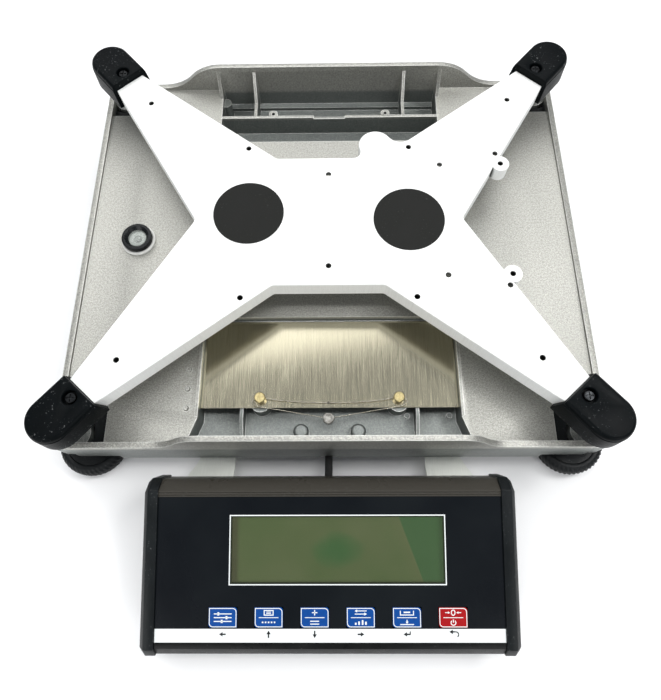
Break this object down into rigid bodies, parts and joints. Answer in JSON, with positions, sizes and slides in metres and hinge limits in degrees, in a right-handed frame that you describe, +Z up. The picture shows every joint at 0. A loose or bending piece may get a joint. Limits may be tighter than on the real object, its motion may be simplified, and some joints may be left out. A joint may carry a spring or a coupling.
{
  "type": "animal weighing scale",
  "caption": "Low bench scale for small animals, pan lifted off: cast base on screw feet, X-shaped frame with black corner caps on a load cell, and a sloping indicator in front.",
  "frame": {"origin": "middle of the whole footprint, on the floor", "axes": "+X to the user's right, +Y away from the user from indicator to platform, +Z up"},
  "size_m": [0.434, 0.4938, 0.094],
  "materials": {
    "base_paint": "silver sand-textured paint on a cast aluminium base",
    "frame_paint": "pale silver paint on a cast aluminium frame",
    "black_moulding": "moulded black plastic",
    "cell_aluminium": "milled aluminium",
    "screw_steel": "zinc-plated steel",
    "black_screw": "blackened steel",
    "brushed_plate": "brushed stainless sheet",
    "seal_brass": "turned brass",
    "wire_steel": "thin twisted steel wire",
    "seal_lead": "pressed lead, dull",
    "level_white": "white moulded seat",
    "level_black": "black moulded bezel",
    "level_glass": "clear vial with pale liquid",
    "case_black": "black anodised extrusion look",
    "end_cap_black": "satin moulded black plastic",
    "panel_print": "printed polyester sheet, black with a white strip",
    "screen_glass": "clear window",
    "screen_green": "olive-green liquid-crystal screen",
    "board_green": "glass-fibre circuit board",
    "battery_wrap": "shrink-wrapped cells",
    "arm_steel": "brushed stainless sheet",
    "lead_jacket": "black cable jacket",
    "disc_black": "fine-grained black sheet",
    "cap_black": "moulded black plastic with a fine grain",
    "foot_rubber": "black rubber",
    "knob_black": "moulded black plastic, knurled",
    "stud_steel": "threaded zinc-plated stud",
    "key_blue": "embossed blue key",
    "key_red": "embossed red key"
  },
  "bodies": {
    "base": {"base_casting": "base_paint", "foot_sockets": "black_moulding", "load_cell": "cell_aluminium", "lower_spacer": "cell_aluminium", "lower_cell_bolts": "screw_steel", "stop_screws": "screw_steel", "stop_nuts": "screw_steel", "recess_plate": "brushed_plate", "seal_screws": "seal_brass", "seal_wire": "wire_steel", "lead_seal": "seal_lead", "level_seat": "level_white", "level_bezel": "level_black", "level_vial": "level_glass", "indicator_housing": "case_black", "end_cap_left": "end_cap_black", "end_cap_right": "end_cap_black", "end_cap_screws": "black_screw", "front_panel": "panel_print", "screen_window": "screen_glass", "screen_module": "screen_green", "circuit_board": "board_green", "key_domes": "screw_steel", "battery_pack": "battery_wrap", "bracket_arm_left": "arm_steel", "bracket_arm_right": "arm_steel", "bracket_screws": "screw_steel", "lead_gland": "black_moulding", "signal_lead": "lead_jacket", "deck_grommet": "foot_rubber", "lead_clip": "black_moulding"},
    "platform": {"spider_frame": "frame_paint", "corner_cap_rear_right": "cap_black", "corner_cap_rear_left": "cap_black", "corner_cap_front_left": "cap_black", "corner_cap_front_right": "cap_black", "cap_screws": "black_screw", "cover_disc_left": "disc_black", "cover_disc_right": "disc_black", "upper_spacer": "cell_aluminium", "upper_cell_bolts": "black_screw"},
    "key_1": {"key_1": "key_blue"},
    "key_2": {"key_2": "key_blue"},
    "key_3": {"key_3": "key_blue"},
    "key_4": {"key_4": "key_blue"},
    "key_5": {"key_5": "key_blue"},
    "key_6": {"key_6": "key_red"},
    "foot_rear_right": {"foot_pad_rear_right": "foot_rubber"},
    "wheel_rear_right": {"foot_wheel_rear_right": "knob_black", "foot_stud_rear_right": "stud_steel"},
    "foot_rear_left": {"foot_pad_rear_left": "foot_rubber"},
    "wheel_rear_left": {"foot_wheel_rear_left": "knob_black", "foot_stud_rear_left": "stud_steel"},
    "foot_front_left": {"foot_pad_front_left": "foot_rubber"},
    "wheel_front_left": {"foot_wheel_front_left": "knob_black", "foot_stud_front_left": "stud_steel"},
    "foot_front_right": {"foot_pad_front_right": "foot_rubber"},
    "wheel_front_right": {"foot_wheel_front_right": "knob_black", "foot_stud_front_right": "stud_steel"}
  },
  "joints": [
    {"name": "platform_deflection", "type": "slide", "parent": "base", "child": "platform", "axis": [0, 0, 1], "range_m": [-0.001, 0], "stiffness_N_per_m": 590000, "deforming": ["load_cell"]},
    {"name": "key_1_press", "type": "slide", "parent": "base", "child": "key_1", "axis": [0, -0.225, 0.9744], "range_m": [-0.0005, 0], "stiffness_N_per_m": 2000},
    {"name": "key_2_press", "type": "slide", "parent": "base", "child": "key_2", "axis": [0, -0.225, 0.9744], "range_m": [-0.0005, 0], "stiffness_N_per_m": 2000},
    {"name": "key_3_press", "type": "slide", "parent": "base", "child": "key_3", "axis": [0, -0.225, 0.9744], "range_m": [-0.0005, 0], "stiffness_N_per_m": 2000},
    {"name": "key_4_press", "type": "slide", "parent": "base", "child": "key_4", "axis": [0, -0.225, 0.9744], "range_m": [-0.0005, 0], "stiffness_N_per_m": 2000},
    {"name": "key_5_press", "type": "slide", "parent": "base", "child": "key_5", "axis": [0, -0.225, 0.9744], "range_m": [-0.0005, 0], "stiffness_N_per_m": 2000},
    {"name": "key_6_press", "type": "slide", "parent": "base", "child": "key_6", "axis": [0, -0.225, 0.9744], "range_m": [-0.0005, 0], "stiffness_N_per_m": 2000},
    {"name": "foot_rear_right_travel", "type": "slide", "parent": "base", "child": "foot_rear_right", "axis": [0, 0, -1], "range_m": [0, 0.006]},
    {"name": "wheel_rear_right_turn", "type": "hinge", "parent": "foot_rear_right", "child": "wheel_rear_right", "pos_m": [0.19, 0.2199, 0.011], "axis": [0, 0, -1], "range_deg": [0, 1720]},
    {"name": "foot_rear_left_travel", "type": "slide", "parent": "base", "child": "foot_rear_left", "axis": [0, 0, -1], "range_m": [0, 0.006]},
    {"name": "wheel_rear_left_turn", "type": "hinge", "parent": "foot_rear_left", "child": "wheel_rear_left", "pos_m": [-0.19, 0.2199, 0.011], "axis": [0, 0, -1], "range_deg": [0, 1720]},
    {"name": "foot_front_left_travel", "type": "slide", "parent": "base", "child": "foot_front_left", "axis": [0, 0, -1], "range_m": [0, 0.006]},
    {"name": "wheel_front_left_turn", "type": "hinge", "parent": "foot_front_left", "child": "wheel_front_left", "pos_m": [-0.19, -0.0971, 0.011], "axis": [0, 0, -1], "range_deg": [0, 1720]},
    {"name": "foot_front_right_travel", "type": "slide", "parent": "base", "child": "foot_front_right", "axis": [0, 0, -1], "range_m": [0, 0.006]},
    {"name": "wheel_front_right_turn", "type": "hinge", "parent": "foot_front_right", "child": "wheel_front_right", "pos_m": [0.19, -0.0971, 0.011], "axis": [0, 0, -1], "range_deg": [0, 1720]}
  ],
  "couplings": [
    {"joint": "foot_rear_right_travel", "follows": "wheel_rear_right_turn", "m_per_rad": 0.00019894},
    {"joint": "foot_rear_left_travel", "follows": "wheel_rear_left_turn", "m_per_rad": 0.00019894},
    {"joint": "foot_front_left_travel", "follows": "wheel_front_left_turn", "m_per_rad": 0.00019894},
    {"joint": "foot_front_right_travel", "follows": "wheel_front_right_turn", "m_per_rad": 0.00019894}
  ]
}
